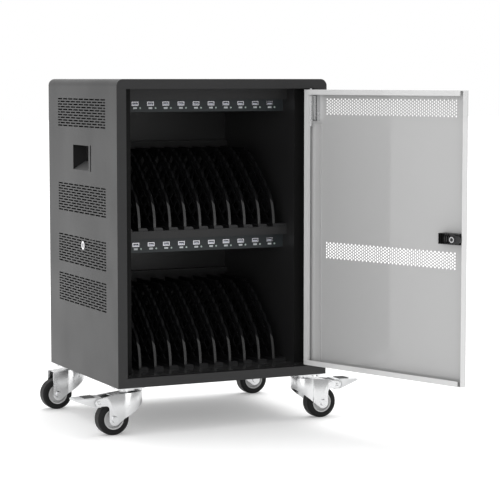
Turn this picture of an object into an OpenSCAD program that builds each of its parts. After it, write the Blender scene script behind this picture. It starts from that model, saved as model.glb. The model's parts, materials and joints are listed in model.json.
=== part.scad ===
// Laptop charging cart: a steel cabinet on four casters with two rows of upright laptop bays,
// a USB hub above each row and a perforated door that stands open.
// Millimetres. The origin is on the floor under the middle of the cabinet. +Z is up, the front faces -Y.

/* [Cabinet] */
// Width across the two side panels
cabinet_w = 530; // [500:5:600]
// Depth from the front frame to the back panel
cabinet_d = 455; // [440:5:560]
// Height of the cabinet above its casters
cabinet_h = 700; // [680:5:820]
// Thickness of the cabinet's sheet steel
sheet_t = 1.5; // [1:0.1:2]
// Outer radius of the two top corners that run front to back
top_corner_r = 16; // [8:1:20]
// Width of the front stiles
stile_w = 23; // [20:1:30]
// Height of the front rails
rail_h = 22; // [21:1:30]
// Depth of the folded front frame
frame_depth = 20; // [19:0.5:20.5]
// Thickness of the base pan
base_t = 2; // [1.5:0.5:4]

/* [Interior] */
// Clear width between the two inner walls
bay_w = 418; // [404:2:430]
// Distance from the cabinet's front to the front flanges of the inner walls
duct_setback = 58; // [50:1:70]
// Distance from the cabinet's front to the shelf lips
lip_setback = 98; // [90:1:110]
// Height of the middle shelf above the cabinet's bottom edge
mid_shelf_h = 348; // [330:1:370]
// Height of the middle shelf's front lip
shelf_lip_h = 18.5; // [12:0.5:24]
// Height of the header panel, from the cabinet's top to its lower edge
header_drop = 48; // [42:1:56]

/* [USB hubs] */
// Distance from the cabinet's front to the faces of the hubs
hub_setback = 118; // [112:1:130]
// Height of a hub
hub_h = 50; // [46:1:60]
// Depth of a hub
hub_d = 60; // [40:1:80]
// Distance from the cabinet's top to the underside of the upper hub
hub_drop = 76; // [72:1:90]
// Height of the socket row above a hub's underside
port_rise = 19; // [17:0.5:22]
// Width of a socket's bezel
port_bezel_w = 17; // [16:0.5:20]
// Height of a socket's bezel
port_bezel_h = 9.5; // [9:0.5:11]
// Offset of a status light from its socket, to the right
light_dx = 13; // [12:0.5:16]
// Offset of a status light from its socket, downwards
light_dz = 10; // [9:0.5:12]
// Diameter of a status light
light_d = 4.4; // [3:0.2:6]

/* [Dividers] */
// Dividers on each shelf
divider_count = 10; // [4:1:10]
// Distance from one divider to the next
divider_pitch = 38.5; // [36:0.5:39]
// Height of a divider above its rack
divider_h = 176; // [160:2:210]
// Depth of a divider from front to back
divider_d = 300; // [280:2:310]
// Height of the upright front edge of a divider
divider_front_h = 60; // [50:1:70]
// Thickness of a divider's web
divider_web_t = 3; // [2:0.2:4]
// Width of the rib round a divider's front edge
divider_rib_w = 6; // [5:0.5:10]
// Thickness of the rack under the dividers
rack_t = 7; // [6:0.5:10]

/* [Door] */
// How far the door stands open
door_open = 109.5; // [95:0.5:135]
// Depth of the door pan
door_depth = 17; // [14:0.5:17.5]
// Thickness of the door's sheet steel
skin_t = 1.2; // [1:0.1:1.5]
// Gap between the door and the frame on the hinge side
hinge_gap = 6; // [5:0.5:7]
// Gap between the door and the frame on the latch side
latch_gap = 3; // [2.8:0.1:4]
// Gap above the door
door_top_gap = 2.5; // [2:0.1:4]
// Gap below the door
door_bottom_gap = 2; // [1.5:0.1:4]
// Width of the lips round the inside of the door
door_lip_w = 12; // [10:0.5:14]
// Distance of the hinge pins from the door's hinge edge
pivot_inset = 10; // [9:0.5:10.5]
// Distance of the hinge pins behind the door's outer face
pivot_back = 5; // [4.6:0.1:5.5]
// Diameter of the hinge pins
hinge_pin_d = 5; // [4:0.5:5]
// Travel of the sprung upper hinge pin
hinge_pin_travel = 9; // [8.5:0.5:10]
// Diameter of a hole in the door's perforated bands
perf_d = 4.5; // [3:0.1:5]
// Distance between neighbouring holes in one row of the bands
perf_pitch = 11.3; // [11:0.1:13]
// Distance between two rows of holes
perf_row = 3.43; // [3.4:0.05:3.8]
// Rows of holes in one band
perf_rows = 11; // [3:2:13]
// Distance from the door's hinge edge to the bands
perf_start = 56; // [50:1:70]
// Length of the bands
perf_len = 392; // [200:2:392]
// Middle of the upper band, below the cabinet's top
perf_upper_drop = 64; // [60:1:80]
// Middle of the lower band, above the cabinet's bottom edge
perf_lower_h = 300; // [200:1:305]

/* [Latch] */
// Distance of the latch shaft from the door's free edge
latch_inset = 18; // [17:0.5:20]
// Height of the latch shaft above the cabinet's bottom edge
latch_h = 350; // [345:1:450]
// Length of the latch body
latch_body_l = 58; // [50:1:70]
// Height of the latch body
latch_body_h = 24; // [20:1:30]
// Diameter of the latch shaft
latch_shaft_d = 12; // [9:0.5:12]
// Reach of the cam from the shaft's axis
latch_cam_l = 28; // [25:0.5:32]

/* [Side panels] */
// Length of a vent block
vent_l = 316; // [250:2:330]
// Height of a vent slot
vent_slot_h = 3.2; // [2:0.1:3.6]
// Distance from one row of slots to the next
vent_row = 6.35; // [5.5:0.05:7]
// Rows of slots in a block
vent_rows = 11; // [5:2:11]
// Slots in a full row
vent_cols = 9; // [5:1:9]
// Width of the steel between two slots of a row
vent_bridge = 6; // [4:0.5:9]
// Length of the handle opening
handle_l = 103; // [90:1:110]
// Height of the handle opening
handle_h = 58; // [50:1:60]
// Depth of the handle cup
handle_depth = 34; // [26:1:38]
// Middle of the handle opening above the cabinet's bottom edge
handle_z = 516; // [505:1:525]
// Diameter of the side lock's face
lock_face_d = 20; // [18:0.5:24]
// Height of the side lock above the cabinet's bottom edge
lock_z = 310; // [300:1:316]

/* [Casters] */
// Height of a caster from the floor to its mounting plate's top
caster_h = 110; // [106:1:120]
// Diameter of a wheel
wheel_d = 75; // [70:1:76]
// Width of a tyre
wheel_w = 32; // [26:1:34]
// Diameter of a wheel's hub
hub_dia = 48; // [40:1:52]
// Distance of an axle behind its swivel
caster_trail = 38; // [34:1:40]
// Distance of the swivels from the side panels
caster_inset_x = 36; // [34:1:50]
// Distance of the swivels from the front and back
caster_inset_y = 38; // [36:1:50]
// Side of a caster's square mounting plate
plate_side = 62; // [56:1:66]
// Distance between the bolts of a mounting plate
plate_bolts = 46; // [44:1:50]
// Diameter of the mounting bolts
bolt_d = 6; // [5:0.5:6.5]
// Diameter of an axle bolt
axle_d = 8; // [6:0.5:10]
// Length of a brake pedal beyond its pivot
pedal_l = 54; // [36:1:60]

/* [Power] */
// Width of the mains inlet's flange
inlet_w = 34; // [32:1:40]
// Height of the mains inlet's flange
inlet_h = 62; // [60:1:72]
// Height of the mains inlet above the cabinet's bottom edge
inlet_z = 70; // [60:1:120]

/* [Hidden] */
$fn = 48;

// Clearances
run_gap = 0.05;
seat_gap = 0.3;
bolt_gap = 0.2;

// Cabinet planes
left_x = -cabinet_w / 2;
right_x = cabinet_w / 2;
front_y = -cabinet_d / 2;
back_y = cabinet_d / 2;
floor_z = caster_h;
top_z = floor_z + cabinet_h;
side_top_z = top_z - top_corner_r;
opening_w = cabinet_w - 2 * stile_w;
opening_h = cabinet_h - 2 * rail_h;
wall_back_y = back_y - sheet_t;
duct_y = front_y + duct_setback;
lip_y = front_y + lip_setback;
duct_w = right_x - bay_w / 2 - 2 * sheet_t;
duct_x = right_x - sheet_t - duct_w / 2;

// Decks and hubs
deck_z = floor_z + rail_h;
mid_z = floor_z + mid_shelf_h;
hub_y = front_y + hub_setback;
upper_hub_z = top_z - hub_drop;
lower_hub_z = mid_z - sheet_t - hub_h;
header_deck_z = upper_hub_z + hub_h;
hub_wall = 1.5;
hub_block = 16;
port_shell = [14.6, 7.2, 14];
port_bezel_t = 0.8;
port_wall = 0.9;
port_tongue_t = 1.8;
port_tongue_gap = 0.6;
light_len = 5;
light_proud = 0.7;

// Dividers
rack_margin = 2;
rack_y = front_y + lip_setback + rack_margin;
rack_d = divider_d + 2 * rack_margin;
divider_y = rack_y + rack_margin;
divider_lean = 14;
divider_shift = 3;
divider_rib_d = 6;
divider_border = 11;
divider_cell = [48, 42];
divider_hole = [19, 16];
tongue_l = 30;
tongue_h = 4;
tongue_inset = 40;
front_steps = 6;
scallops = 7;
scallop_h = 4;
scallop_steps = 6;
slope_pull = [0.38, 0.93];
slope_end = 0.57;
pad_w = 20;
pad_r = 5;
rack_bar = 20;
stop_bar = [12, 13];
stop_bar_gap = 1;

// Door, drawn closed and then swung open about its pins
door_w = opening_w - hinge_gap - latch_gap;
door_z = deck_z + door_bottom_gap;
door_top_z = top_z - rail_h - door_top_gap;
door_h = door_top_z - door_z;
hinge_edge_x = opening_w / 2 - hinge_gap;
pivot_x = hinge_edge_x - pivot_inset;
pivot_y = front_y + pivot_back;
return_v = pivot_back + hinge_pin_d / 2 + 1.5;
lip_end = 9;
perf_cols = floor((perf_len - perf_d) / perf_pitch) + 1;
stiffener_w = 28;
stiffener_t = 1.5;
stiffener_end = 80;
bracket_drop = 73;
bracket_z = door_top_z - bracket_drop;
bracket_h = 60;
bracket_w = 22;
bracket_t = 2;
bracket_start = door_lip_w + 2;
bracket_end = bracket_start + bracket_w;
bracket_rise = 12;
ear_w = 5;
ear_start = pivot_inset - ear_w;
pin_past = 3;
pin_reach = door_top_gap + sheet_t + pin_past;
lower_pin_reach = door_bottom_gap + sheet_t + pin_past;
pin_collar_d = 7;
pin_collar_h = 5;
tab = [10, 2.5, 2];
tab_room = 4;
tab_drop = hinge_pin_travel + tab_room;

// Latch
latch_clear = 0.7;
latch_top = frame_depth + latch_clear;
cam_t = 2;
cam_w = 12;
lever_t = 4;
lever_r = 8;
lever_hub_r = 10;
cam_hub_r = 9;
lever_reach = latch_inset + latch_gap - latch_clear;
stack_gap = 0.2;
latch_z = floor_z + latch_h;
key_face_d = 20;
key_face_t = 3;
nut_d = 13;
nut_h = 4;
nut_socket = [5, 3];
rib_pitch = 6;
rib_depth = 2;

// Side panels
vent_y = 2;
vent_z = [199.5, 294.5, 418, 621];
vent_pitch = (vent_l + vent_bridge) / vent_cols;
handle_y = 5;
slit_w = 6.5;
slit_gap = 10.25;
slit_over = 1.5;
cup_wall = 1.5;
cup_room = 3;
cup_depth = min(handle_depth, duct_w - cup_room);
cup_margin = 5;
cup_slope = 20;
lock_y = -10;
lock_barrel_d = 17;
lock_plug_d = 12;
lock_depth = 22;
lock_cam = [12, 30, 2];
lock_face_t = 2;
plug_proud = 0.5;
key_slot = [8, 1.8, 2];

// Casters
wheel_r = wheel_d / 2;
bolt_head_d = 2 * bolt_d;
bolt_head_h = 3.5;
bolt_nut_h = 4.5;
bolt_nut_d = 1.8 * bolt_d;
bolt_tail = 0.5;
plate_t = 3;
race_d = 44;
race_h = 5.2;
fork_top_z = caster_h - plate_t - race_h - seat_gap;
fork_t = 2.5;
fork_gap = 3.5;
fork_half = wheel_w / 2 + fork_gap + fork_t;
fork_boss_t = 4.5;
fork_head_t = fork_t + fork_boss_t;
fork_nose_r = 29;
nose_shift = 6;
fork_nose_h = 25.5;
fork_boss_r = 14;
boss_tuck = 0.3;
leg_x = caster_trail + fork_boss_r - boss_tuck;
roof_end = caster_trail + fork_boss_r / 2;
nose_x = -nose_shift - fork_nose_r - 1;
leg_fillet = 8;
arm_end = 86;
arm_slope = 12.5;
arm_h = 19;
arm_top_z = fork_top_z - arm_slope;
arm_low_z = arm_top_z - arm_h;
kingpin_d = 10;
kingpin_head_d = 16;
kingpin_head_t = 4;
kingpin_boss_d = 20;
axle_head_af = 13;
axle_head_t = 5;
hub_w = wheel_w - 2;
hub_boss_t = 5;
hub_boss_over = 1;
hub_web_t = 10;
hub_rim_t = 2.5;
hub_rim_taper = 1.5;
tyre_round = 6;
pedal_pivot = [arm_end - arm_h / 2, arm_low_z + arm_h / 2];
pedal_pin_d = 6;
pedal_t = 2.5;
pedal_root = 12;
pedal_end_gap = 2.5;
pedal_drop = 2;
pedal_lip = [2, 6];
pedal_flare = 7;
pedal_wide_x = pedal_pivot[0] + pedal_flare;
caster_x = cabinet_w / 2 - caster_inset_x;
caster_y = cabinet_d / 2 - caster_inset_y;

// Power
psu_room = 13;
psu = [duct_w - psu_room, 180, 220];
psu_wall = 1.5;
psu_rise = 190;
psu_y = -20;
inlet_body = [26, 34, 54];
inlet_lip = 2.5;
socket = [24, 17, 16];
switch_win = [20, 15];
switch_depth = 12;
inlet_rim = 3;
inlet_pin = [2, 15, 4];
pin_pitch = 7;
pin_drop = 7;
rocker_back = 4;
rocker_profile = [[-5, -4], [-5, 4], [3.2, 6], [3.6, 0], [5, -6]];

// Back panel's screws
back_screw_count = 5;
back_screw_inset = 14;
back_screw_d = 4;
back_screw_l = 8;

// Colours
coat = [0.16, 0.16, 0.17];
inner_coat = [0.09, 0.09, 0.1];
door_coat = [0.8, 0.8, 0.8];
black = [0.04, 0.04, 0.04];
zinc = [0.78, 0.79, 0.8];
hub_grey = [0.7, 0.7, 0.7];
green = [0.3, 0.9, 0.5];

// The diameter round a hexagon, from its width across flats
function hex_d(af) = af / cos(30);

// A box between two corners
module box(low, high) {
  translate(low)
    cube(high - low);
}

// Draws XZ outlines as plates that face the front, from y to y + t
module front_plate(y, t) {
  translate([0, y + t, 0])
    rotate([90, 0, 0])
      linear_extrude(t)
        children();
}

// Draws YZ outlines as plates that face the sides, from x to x + t
module side_plate(x, t) {
  translate([x, 0, 0])
    rotate([90, 0, 90])
      linear_extrude(t)
        children();
}

// A rectangle about the origin
module plaque(w, h) {
  square([w, h], center = true);
}

// The cabinet's front outline with its rounded top corners, drawn in by d
module arch(d) {
  r = top_corner_r - d;
  translate([left_x + d, floor_z])
    square([cabinet_w - 2 * d, cabinet_h - top_corner_r]);
  translate([left_x + top_corner_r, floor_z])
    square([cabinet_w - 2 * top_corner_r, cabinet_h - d]);
  for (x = [left_x + top_corner_r, right_x - top_corner_r])
    translate([x, side_top_z])
      circle(r);
}

// One block of staggered vent slots, about its middle
module vent_block() {
  slot_l = vent_pitch - vent_bridge;
  for (row = [0 : vent_rows - 1]) {
    z = (row - (vent_rows - 1) / 2) * vent_row;
    if (row % 2 == 0) {
      for (col = [0 : vent_cols - 1])
        translate([(col - (vent_cols - 1) / 2) * vent_pitch, z])
          plaque(slot_l, vent_slot_h);
    } else {
      for (col = [0 : vent_cols - 2])
        translate([(col - (vent_cols - 2) / 2) * vent_pitch, z])
          plaque(slot_l, vent_slot_h);
      for (end = [-1, 1])
        translate([end * (vent_l / 2 - (slot_l - vent_bridge) / 4), z])
          plaque((slot_l - vent_bridge) / 2, vent_slot_h);
    }
  }
}

// The handle opening and the narrow slit in front of it
module handle_cut() {
  translate([handle_y, floor_z + handle_z])
    plaque(handle_l, handle_h);
  translate([handle_y - handle_l / 2 - slit_gap - slit_w / 2, floor_z + handle_z])
    plaque(slit_w, handle_h + 2 * slit_over);
}

// A side panel's outline with its cuts
module side_outline(lock) {
  difference() {
    translate([front_y + sheet_t, floor_z])
      square([cabinet_d - 2 * sheet_t, cabinet_h - top_corner_r]);
    for (z = vent_z)
      translate([vent_y, floor_z + z])
        vent_block();
    handle_cut();
    if (lock)
      translate([lock_y, floor_z + lock_z])
        circle(d = lock_barrel_d + 2 * bolt_gap);
  }
}

module left_side_panel() {
  color(coat)
    side_plate(left_x, sheet_t)
      side_outline(true);
}

module right_side_panel() {
  color(coat)
    side_plate(right_x - sheet_t, sheet_t)
      side_outline(false);
}

module top_panel() {
  color(coat)
    front_plate(front_y + sheet_t, cabinet_d - 2 * sheet_t)
      difference() {
        arch(0);
        arch(sheet_t);
        translate([left_x, floor_z])
          square([cabinet_w, cabinet_h - top_corner_r]);
      }
}

module back_panel() {
  color(coat)
    difference() {
      front_plate(wall_back_y, sheet_t)
        difference() {
          arch(0);
          translate([duct_x, floor_z + inlet_z])
            plaque(inlet_body[0] + 2 * bolt_gap, inlet_body[2] + 2 * bolt_gap);
        }
      at_back_screws()
        translate([0, 0, -1])
          cylinder(d = back_screw_d + 2 * bolt_gap, h = sheet_t + 2);
    }
}

module base_pan() {
  color(coat)
    difference() {
      box([left_x + sheet_t, front_y + sheet_t, floor_z], [right_x - sheet_t, wall_back_y, floor_z + base_t]);
      at_casters()
        at_plate_bolts()
          translate([0, 0, floor_z - 1])
            cylinder(d = bolt_d + 2 * bolt_gap, h = base_t + 2);
    }
}

module top_rail() {
  color(coat)
    difference() {
      union() {
        front_plate(front_y, sheet_t)
          intersection() {
            arch(0);
            translate([left_x, top_z - rail_h])
              square([cabinet_w, rail_h]);
          }
        box(
          [-opening_w / 2, front_y, top_z - rail_h],
          [opening_w / 2, front_y + frame_depth, top_z - rail_h + sheet_t]
        );
      }
      translate([pivot_x, pivot_y, top_z - rail_h - 1])
        cylinder(d = hinge_pin_d + 2 * run_gap, h = sheet_t + 2);
    }
}

module bottom_rail() {
  color(coat)
    difference() {
      union() {
        box([left_x, front_y, floor_z], [right_x, front_y + sheet_t, deck_z]);
        box([-opening_w / 2, front_y, deck_z - sheet_t], [opening_w / 2, front_y + frame_depth, deck_z]);
      }
      translate([pivot_x, pivot_y, deck_z - sheet_t - 1])
        cylinder(d = hinge_pin_d + 2 * run_gap, h = sheet_t + 2);
    }
}

// A stile with its front face and its return, on the left
module stile() {
  box([left_x, front_y, deck_z], [left_x + stile_w, front_y + sheet_t, deck_z + opening_h]);
  box(
    [left_x + stile_w - sheet_t, front_y, deck_z],
    [left_x + stile_w, front_y + frame_depth, deck_z + opening_h]
  );
}

module left_stile() {
  color(coat)
    stile();
}

module right_stile() {
  color(coat)
    mirror([1, 0, 0])
      stile();
}

// An inner wall with the flange that closes its duct, on the left
module inner_wall() {
  wall_x = -bay_w / 2;
  notch_half = bolt_head_d / 2 + 1;
  difference() {
    box([wall_x - sheet_t, duct_y, floor_z + base_t], [wall_x, wall_back_y, top_z - sheet_t]);
    for (end = [-1, 1])
      for (side = [-1, 1])
        translate([wall_x - sheet_t - 1, end * caster_y + side * plate_bolts / 2 - notch_half, floor_z])
          cube([sheet_t + 2, 2 * notch_half, base_t + bolt_head_h + 1]);
  }
  box([left_x + sheet_t, duct_y, deck_z], [wall_x, duct_y + sheet_t, side_top_z]);
}

module left_inner_wall() {
  color(inner_coat)
    inner_wall();
}

module right_inner_wall() {
  color(inner_coat)
    mirror([1, 0, 0])
      inner_wall();
}

module floor_deck() {
  low_z = deck_z - sheet_t;
  color(inner_coat) {
    box([left_x + sheet_t, front_y + frame_depth, low_z], [right_x - sheet_t, duct_y, deck_z]);
    box([-bay_w / 2, duct_y, low_z], [bay_w / 2, wall_back_y, deck_z]);
  }
}

module mid_shelf() {
  color(inner_coat) {
    box([-bay_w / 2, lip_y, mid_z - sheet_t], [bay_w / 2, wall_back_y, mid_z]);
    box([-bay_w / 2, lip_y, mid_z - shelf_lip_h], [bay_w / 2, lip_y + sheet_t, mid_z]);
  }
}

module header_panel() {
  color(inner_coat) {
    box([-bay_w / 2, lip_y, top_z - header_drop], [bay_w / 2, lip_y + sheet_t, top_z - sheet_t]);
    box([-bay_w / 2, lip_y, header_deck_z], [bay_w / 2, wall_back_y, header_deck_z + sheet_t]);
  }
}

// Repeats its children at each bay across the cabinet
module at_bays() {
  for (i = [0 : divider_count - 1])
    translate([(i - (divider_count - 1) / 2) * divider_pitch, 0, 0])
      children();
}

// A hub's housing on its own underside, with pockets for its sockets and lights
module usb_hub() {
  half = bay_w / 2 - seat_gap;
  difference() {
    box([-half, hub_y, 0], [half, hub_y + hub_d, hub_h]);
    box(
      [-half + hub_wall, hub_y + hub_block, hub_wall],
      [half - hub_wall, hub_y + hub_d + 1, hub_h - hub_wall]
    );
    at_bays() {
      translate([-port_shell[0] / 2 - bolt_gap, hub_y - 1, port_rise - port_shell[1] / 2 - bolt_gap])
        cube([port_shell[0] + 2 * bolt_gap, port_shell[2] + 1, port_shell[1] + 2 * bolt_gap]);
      translate([light_dx, hub_y - 1, port_rise - light_dz])
        rotate([-90, 0, 0])
          cylinder(d = light_d + 2 * run_gap, h = light_len - light_proud + 1);
    }
  }
}

module upper_usb_hub() {
  color(inner_coat)
    translate([0, 0, upper_hub_z])
      usb_hub();
}

module lower_usb_hub() {
  color(inner_coat)
    translate([0, 0, lower_hub_z])
      usb_hub();
}

// One USB socket about the middle of its face, which lies in the hub's front
module usb_port() {
  in_w = port_shell[0] - 2 * port_wall;
  in_h = port_shell[1] - 2 * port_wall;
  difference() {
    union() {
      translate([-port_shell[0] / 2, 0, -port_shell[1] / 2])
        cube([port_shell[0], port_shell[2], port_shell[1]]);
      translate([-port_bezel_w / 2, -port_bezel_t, -port_bezel_h / 2])
        cube([port_bezel_w, port_bezel_t, port_bezel_h]);
    }
    translate([-in_w / 2, -port_bezel_t - 1, -in_h / 2])
      cube([in_w, port_shell[2] - port_wall + port_bezel_t + 1, in_h]);
  }
  translate([-in_w / 2 + port_tongue_gap, 1, in_h / 2 - port_tongue_gap - port_tongue_t])
    cube([in_w - 2 * port_tongue_gap, port_shell[2] - 1, port_tongue_t]);
}

module usb_ports() {
  color(zinc)
    for (z = [upper_hub_z, lower_hub_z])
      at_bays()
        translate([0, hub_y, z + port_rise])
          usb_port();
}

// One status light behind the hub's front face
module port_light() {
  translate([light_dx, hub_y - light_proud, port_rise - light_dz])
    rotate([-90, 0, 0])
      cylinder(d = light_d, h = light_len);
}

module port_lights() {
  color(green)
    for (z = [upper_hub_z, lower_hub_z])
      at_bays()
        translate([0, 0, z])
          port_light();
}

// A point on the divider's upright front edge, which bends back towards its top, t from 0 to 1
function front_at(t) = [divider_lean * t * t, divider_front_h * t];

// The ends of the divider's slope and the point that pulls its curve
slope_low = front_at(1);
slope_mid = [slope_pull[0] * divider_d, slope_pull[1] * divider_h];
slope_top = [slope_end * divider_d, divider_h];

// A point on the slope, t from 0 to 1
function slope_at(t) = (1 - t) * (1 - t) * slope_low + 2 * t * (1 - t) * slope_mid + t * t * slope_top;

// The way out of the slope at t, square to it
function slope_out(t) =
  let (along = (1 - t) * (slope_mid - slope_low) + t * (slope_top - slope_mid))
  [-along[1], along[0]] / norm(along);

// A divider's front and top edge, from its foot to its rear corner, with scallops of height h on its slope
function divider_edge(h) =
  let (last = scallops * scallop_steps)
  concat(
    [for (i = [0 : front_steps - 1]) front_at(i / front_steps)],
    [for (i = [0 : last])
      slope_at(i / last) + h * abs(sin(180 * i / scallop_steps)) * slope_out(i / last)],
    [[divider_d, divider_h]]
  );

// An edge moved inwards by d along its own normals
function inset_edge(edge, d) =
  let (last = len(edge) - 1)
  [for (i = [0 : last])
    let (along = edge[min(i + 1, last)] - edge[max(i - 1, 0)])
    let (unit = along / norm(along))
    edge[i] + d * [unit[1], -unit[0]]];

// A divider's outline in the YZ plane, from its foot's front corner
module divider_outline() {
  polygon(concat(divider_edge(scallop_h), [[divider_d, 0]]));
}

// The openings of a divider's lattice, kept inside its border
module divider_lattice() {
  inner = inset_edge(divider_edge(0), divider_border);
  rows = 2 * ceil(divider_h / divider_cell[1]);
  cols = ceil(divider_d / divider_cell[0]);
  intersection() {
    polygon(concat(
      [[divider_border + divider_web_t, divider_border]],
      [for (i = [1 : len(inner) - 2]) inner[i]],
      [[divider_d - divider_border, divider_h - divider_border], [divider_d - divider_border, divider_border]]
    ));
    for (row = [0 : rows])
      for (col = [0 : cols])
        translate([(col + (row % 2) / 2) * divider_cell[0], row * divider_cell[1] / 2])
          polygon([[-divider_hole[0], 0], [0, divider_hole[1]], [divider_hole[0], 0], [0, -divider_hole[1]]]);
  }
}

// One divider on its rack: web, front rib and the tongues under its foot
module divider() {
  rib_back = inset_edge(divider_edge(0), divider_rib_d);
  side_plate(-divider_web_t / 2, divider_web_t)
    difference() {
      divider_outline();
      divider_lattice();
    }
  side_plate(-divider_rib_w / 2, divider_rib_w)
    polygon(concat(
      divider_edge(scallop_h),
      [for (i = [len(rib_back) - 1 : -1 : 1]) rib_back[i]],
      [[divider_rib_d, 0]]
    ));
  for (y = [tongue_inset, divider_d - tongue_inset - tongue_l])
    translate([-divider_web_t / 2, y, -tongue_h])
      cube([divider_web_t, tongue_l, tongue_h]);
}

// The gap between a divider's round-edged pad and the next divider, seen from the front
module pad_gap() {
  translate([pad_w, -1])
    square([divider_pitch - pad_w - divider_rib_w / 2, rack_t + 2]);
  translate([pad_w - pad_r, rack_t - pad_r])
    difference() {
      square(pad_r + 1);
      circle(pad_r);
    }
}

// A rack on its own underside: a comb with a pad beside the left wall and one beside each divider
module divider_rack() {
  difference() {
    box([-bay_w / 2 + seat_gap, rack_y, 0], [bay_w / 2 - seat_gap, rack_y + rack_d, rack_t]);
    front_plate(rack_y - 1, rack_d - rack_bar + 1)
      for (i = [-1 : divider_count - 2])
        translate([(i - (divider_count - 1) / 2) * divider_pitch + divider_shift, 0])
          pad_gap();
    at_bays()
      for (y = [tongue_inset, divider_d - tongue_inset - tongue_l])
        translate([divider_shift - divider_web_t / 2, divider_y + y, rack_t - tongue_h])
          translate(-bolt_gap * [1, 1, 1])
            cube([divider_web_t + 2 * bolt_gap, tongue_l + 2 * bolt_gap, tongue_h + 1]);
  }
}

module upper_divider_rack() {
  color(black)
    translate([0, 0, mid_z])
      divider_rack();
}

module lower_divider_rack() {
  color(black)
    translate([0, 0, deck_z])
      divider_rack();
}

module upper_dividers() {
  color(black)
    at_bays()
      translate([divider_shift, divider_y, mid_z + rack_t])
        divider();
}

module lower_dividers() {
  color(black)
    at_bays()
      translate([divider_shift, divider_y, deck_z + rack_t])
        divider();
}

// A bar on the back panel above each row of dividers that keeps the laptops off the panel
module stop_bars() {
  color(inner_coat)
    for (z = [deck_z, mid_z])
      translate([0, 0, z + rack_t + divider_h + stop_bar_gap])
        box([-bay_w / 2, wall_back_y - stop_bar[0], 0], [bay_w / 2, wall_back_y, stop_bar[1]]);
}

// A handle cup behind the left panel: a pocket whose floor slopes out to the panel
module handle_cup() {
  cup_x = left_x + sheet_t;
  slit_end = handle_y - handle_l / 2 - slit_gap - slit_w;
  low = [cup_x, slit_end - cup_margin, floor_z + handle_z - handle_h / 2 - cup_margin];
  cup_l = handle_y + handle_l / 2 + cup_margin - low[1];
  high = low + [cup_depth, cup_l, handle_h + 2 * cup_margin];
  difference() {
    box(low, high);
    box(low + [-1, cup_wall, cup_wall], high - [cup_wall, cup_wall, cup_wall]);
  }
  translate([0, high[1], 0])
    rotate([90, 0, 0])
      linear_extrude(high[1] - low[1])
        polygon([
          [cup_x, low[2]],
          [high[0], low[2]],
          [high[0], low[2] + cup_margin + cup_slope],
          [cup_x, low[2] + cup_margin]
        ]);
}

module left_handle_cup() {
  color(coat)
    handle_cup();
}

module right_handle_cup() {
  color(coat)
    mirror([1, 0, 0])
      handle_cup();
}

// Turns a shape drawn along +Z so that it runs inwards from the left panel's face at the side lock
module at_side_lock() {
  translate([left_x, lock_y, floor_z + lock_z])
    rotate([0, 90, 0])
      children();
}

module side_lock_barrel() {
  color(zinc)
    at_side_lock()
      difference() {
        union() {
          translate([0, 0, -lock_face_t])
            cylinder(d = lock_face_d, h = lock_face_t);
          cylinder(d = lock_barrel_d, h = lock_depth);
        }
        translate([0, 0, -lock_face_t - 1])
          cylinder(d = lock_plug_d + 2 * run_gap, h = lock_depth + lock_face_t + 2);
      }
}

module side_lock_plug() {
  face_z = -lock_face_t - plug_proud;
  color(zinc)
    at_side_lock() {
      difference() {
        translate([0, 0, face_z])
          cylinder(d = lock_plug_d, h = lock_depth - face_z + seat_gap);
        translate([0, 0, face_z])
          cube([key_slot[0], key_slot[1], 2 * key_slot[2]], center = true);
      }
      translate([-lock_cam[1] + lock_cam[0] / 2, -lock_cam[0] / 2, lock_depth + seat_gap])
        cube([lock_cam[1], lock_cam[0], lock_cam[2]]);
    }
}

// The supply's case, open towards the inner wall that it is fixed to
module power_supply() {
  low = [bay_w / 2 + sheet_t, psu_y, floor_z + psu_rise];
  color(zinc)
    difference() {
      box(low, low + psu);
      box(low + [-1, psu_wall, psu_wall], low + psu - [psu_wall, psu_wall, psu_wall]);
    }
}

// Places shapes drawn about the inlet's face, which looks out of the back
module at_inlet() {
  translate([duct_x, back_y, floor_z + inlet_z])
    children();
}

module power_inlet() {
  socket_z = -inlet_body[2] / 2 + inlet_rim;
  switch_z = inlet_body[2] / 2 - inlet_rim - switch_win[1];
  color(black)
    at_inlet() {
      difference() {
        union() {
          translate([-inlet_w / 2, 0, -inlet_h / 2])
            cube([inlet_w, inlet_lip, inlet_h]);
          translate([-inlet_body[0] / 2, -inlet_body[1] + inlet_lip, -inlet_body[2] / 2])
            cube([inlet_body[0], inlet_body[1], inlet_body[2]]);
        }
        translate([-socket[0] / 2, inlet_lip - socket[1], socket_z])
          cube([socket[0], socket[1] + 1, socket[2]]);
        translate([-switch_win[0] / 2, inlet_lip - switch_depth, switch_z])
          cube([switch_win[0], switch_depth + 1, switch_win[1]]);
      }
      for (i = [-1, 0, 1])
        translate([i * pin_pitch - inlet_pin[0] / 2, inlet_lip - socket[1], socket_z + socket[2] - pin_drop])
          cube(inlet_pin);
    }
}

module power_switch() {
  half = switch_win[0] / 2 - seat_gap;
  color(black)
    at_inlet()
      translate([-half, inlet_lip - rocker_back, inlet_body[2] / 2 - inlet_rim - switch_win[1] / 2])
        rotate([90, 0, 90])
          linear_extrude(2 * half)
            polygon(rocker_profile);
}

// Repeats its children at the screws down both edges of the back panel
module at_back_screws() {
  for (side = [-1, 1])
    for (step = [0 : back_screw_count - 1])
      translate([
        side * (cabinet_w / 2 - back_screw_inset),
        back_y,
        floor_z + back_screw_inset + step * (cabinet_h - 3 * back_screw_inset) / (back_screw_count - 1)
      ])
        rotate([90, 0, 0])
          children();
}

module back_screws() {
  color(coat)
    at_back_screws() {
      cylinder(d = back_screw_d, h = back_screw_l);
      translate([0, 0, -back_screw_d / 2])
        cylinder(d = 2 * back_screw_d, h = back_screw_d / 2);
    }
}

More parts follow.
